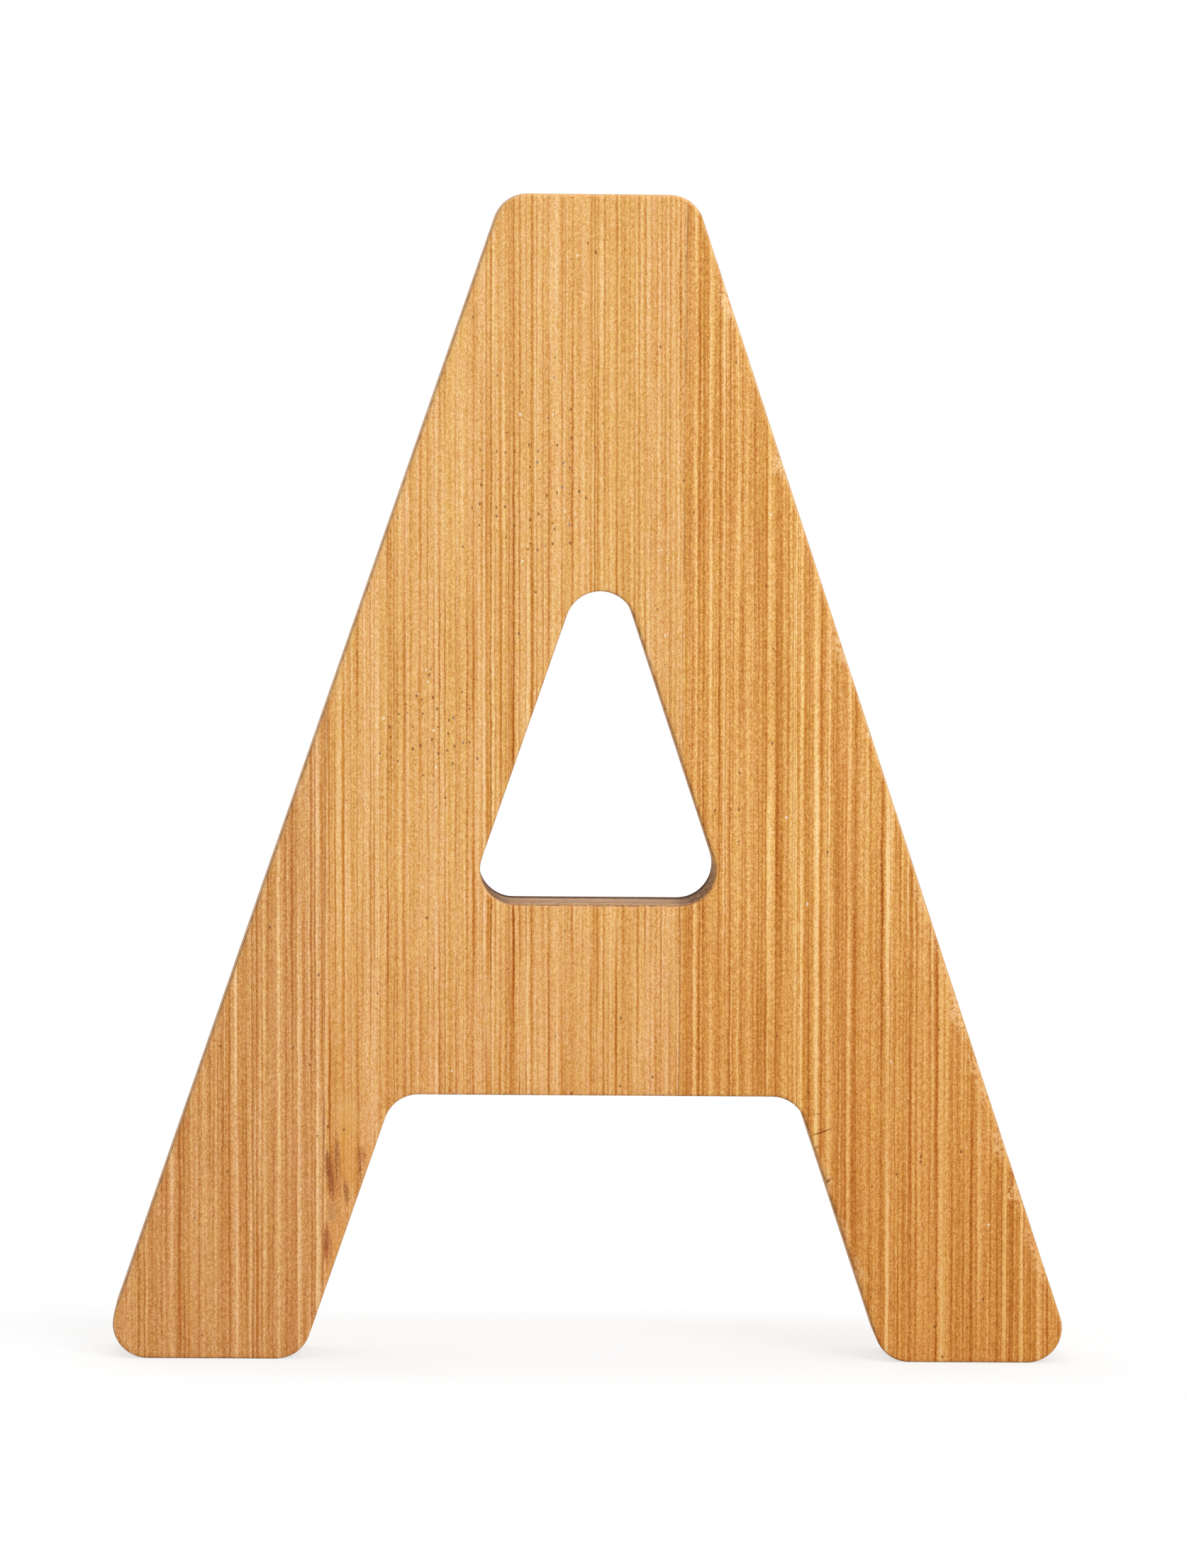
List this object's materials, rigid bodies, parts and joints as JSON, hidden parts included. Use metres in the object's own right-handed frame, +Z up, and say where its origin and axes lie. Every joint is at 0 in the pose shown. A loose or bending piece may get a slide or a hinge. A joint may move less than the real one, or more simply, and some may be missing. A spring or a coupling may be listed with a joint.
{
  "type": "wooden letter",
  "caption": "Flat capital letter A cut from laminated bamboo board with rounded corners and sanded edges, standing on its feet as a toy or door letter.",
  "frame": {"origin": "on the floor under the middle of the letter, halfway through its thickness", "axes": "+X to the right as the letter is read, +Y from the front face to the back face, +Z up from the feet to the flat top"},
  "size_m": [0.049, 0.005, 0.06],
  "materials": {
    "face_bamboo_honey": "sanded bamboo, medium tone, low sheen",
    "face_bamboo_pale": "sanded bamboo, pale tone with fine fibre lines, low sheen",
    "face_bamboo_amber": "sanded bamboo, amber tone with broad fibre streaks, low sheen",
    "core_bamboo": "cut bamboo edge, matt"
  },
  "bodies": {
    "root": {"front_strip_left": "face_bamboo_honey", "front_strip_middle": "face_bamboo_pale", "front_strip_right": "face_bamboo_amber", "core_foot_left": "core_bamboo", "core_foot_right": "core_bamboo", "core_bar": "core_bamboo", "core_shoulder": "core_bamboo", "core_apex": "core_bamboo", "back_strip_left": "face_bamboo_amber", "back_strip_middle": "face_bamboo_honey", "back_strip_right": "face_bamboo_pale"}
  },
  "joints": []
}
